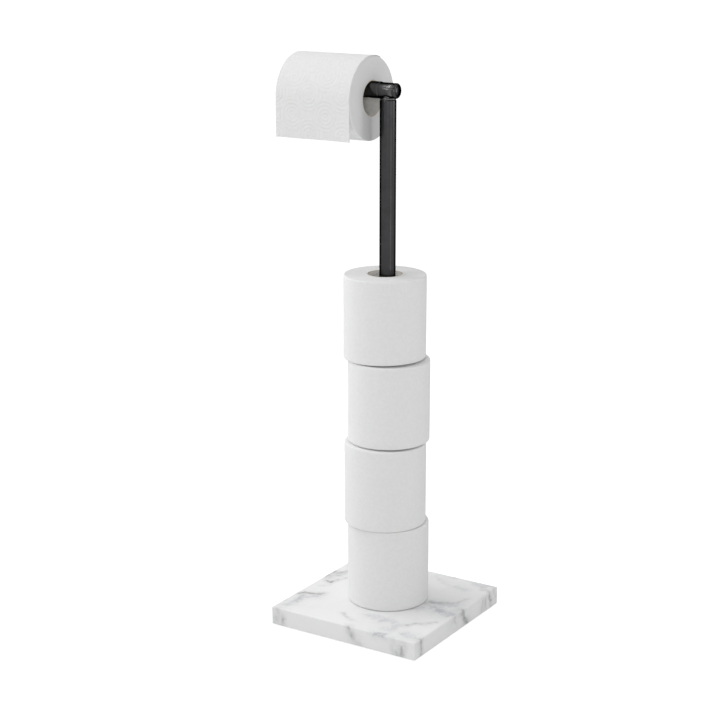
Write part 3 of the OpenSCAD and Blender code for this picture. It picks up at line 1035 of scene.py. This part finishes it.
class HOLDER_OT_stage(bpy.types.Operator):
    """Set up the floor, the lamps and the camera"""

    bl_idname = "holder.stage"
    bl_label = "Stage"

    def execute(self, context):
        look = context.scene.holder_stage
        context.scene.view_settings.view_transform = "Standard"
        self.floor(look)
        self.world(look)
        for name, (place, aim, size, power) in LAMPS.items():
            lamp(name, place, aim, size, power * look.lamps)
        self.camera(look)
        return {"FINISHED"}

    def floor(self, look):
        """A matt floor that the camera sees as white, with the object's shadow on it."""
        bm = bmesh.new()
        bmesh.ops.create_grid(bm, x_segments=1, y_segments=1, size=FLOOR_REACH)
        mesh = bpy.data.meshes.new("studio_floor")
        bm.to_mesh(mesh)
        bm.free()
        made = bpy.data.materials.new("white_floor")
        made.use_nodes = True
        tree = made.node_tree
        tree.nodes.clear()
        shown = seen_directly(tree)
        matt = feed(tree, add(tree, "BsdfDiffuse"), Color=FLOOR_GREY).outputs[0]
        faint = feed(tree, add(tree, "BsdfDiffuse"), Color=FLOOR_SHADOW_GREY).outputs[0]
        glow = feed(tree, add(tree, "Emission"), Color=(1, 1, 1, 1), Strength=look.glow).outputs[0]
        lit = feed(tree, add(tree, "AddShader"), i0=faint, i1=glow).outputs[0]
        both = feed(tree, add(tree, "MixShader"), i0=shown, i1=matt, i2=lit).outputs[0]
        feed(tree, add(tree, "OutputMaterial"), Surface=both)
        mesh.materials.append(made)
        floor = bpy.data.objects.new("studio_floor", mesh)
        bpy.context.scene.collection.objects.link(floor)

    def world(self, look):
        """Even light, stronger from one side, behind a white backdrop."""
        world = bpy.data.worlds.new("studio")
        bpy.context.scene.world = world
        world.use_nodes = True
        tree = world.node_tree
        tree.nodes.clear()
        shown = seen_directly(tree)
        direction = add(tree, "TexCoord").outputs["Generated"]
        leaning = vector_maths(tree, "DOT_PRODUCT", direction, tuple(look.lean)).outputs["Value"]
        even = maths(tree, "ADD", leaning, look.ambient)
        strength = feed(tree, add(tree, "Mix", data_type="FLOAT"), i0=shown, i2=even, i3=1.0).outputs[0]
        light = feed(tree, add(tree, "Background"), Color=(1, 1, 1, 1), Strength=strength).outputs[0]
        feed(tree, add(tree, "OutputWorld"), Surface=light)

    def camera(self, look):
        """The camera that the settings describe."""
        data = bpy.data.cameras.new("view_camera")
        data.lens = look.lens
        data.sensor_width = SENSOR_WIDTH
        camera = bpy.data.objects.new("view_camera", data)
        bpy.context.scene.collection.objects.link(camera)
        turn, tilt = look.azimuth, look.elevation
        level = math.cos(tilt)
        back = Vector((math.sin(turn) * level, -math.cos(turn) * level, math.sin(tilt)))
        right = Vector((math.cos(turn), math.sin(turn), 0))
        aim = right * look.aim_side + Vector((0, 0, look.aim_height))
        camera.location = aim + back * look.distance
        camera.rotation_euler = (-back).to_track_quat("-Z", "Y").to_euler()
        bpy.context.scene.camera = camera


class HOLDER_PT_panel(bpy.types.Panel):
    """Lists the pieces and finishes of the holder"""

    bl_idname = "HOLDER_PT_panel"
    bl_label = "Roll Holder"
    bl_space_type = "VIEW_3D"
    bl_region_type = "UI"
    bl_category = "Roll Holder"

    def draw(self, context):
        for name in SETTINGS:
            box = self.layout.box()
            settings = getattr(context.scene, name)
            for prop in settings.bl_rna.properties:
                if prop.identifier not in {"rna_type", "name"}:
                    box.prop(settings, prop.identifier)
        for step in STEPS:
            self.layout.operator(step)


SETTINGS = {
    "holder_stone": StoneLook,
    "holder_metal": MetalLook,
    "holder_paper": PaperLook,
    "holder_stage": StageLook,
}
OPERATORS = (
    HOLDER_OT_slab, HOLDER_OT_metalwork, HOLDER_OT_cores, HOLDER_OT_spare_rolls,
    HOLDER_OT_hanging_roll, HOLDER_OT_loose_end, HOLDER_OT_stage,
)
STEPS = tuple(kind.bl_idname for kind in OPERATORS)
CLASSES = (*SETTINGS.values(), *OPERATORS, HOLDER_PT_panel)

# The node groups, which main() makes and the materials share.
GROUPS = {}


def register():
    """Registers the classes, and the settings as parts of the scene."""
    for kind in CLASSES:
        bpy.utils.register_class(kind)
    for name, kind in SETTINGS.items():
        setattr(bpy.types.Scene, name, bpy.props.PointerProperty(type=kind))


def unregister():
    """Takes away what register() added."""
    for name in SETTINGS:
        delattr(bpy.types.Scene, name)
    for kind in reversed(CLASSES):
        bpy.utils.unregister_class(kind)


def main():
    """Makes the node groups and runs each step."""
    register()
    GROUPS.update(stroke=stroke_group(), grain=grain_group(), rings=emboss_group())
    for step in STEPS:
        area, name = step.split(".")
        getattr(getattr(bpy.ops, area), name)()


if __name__ == "__main__":
    main()
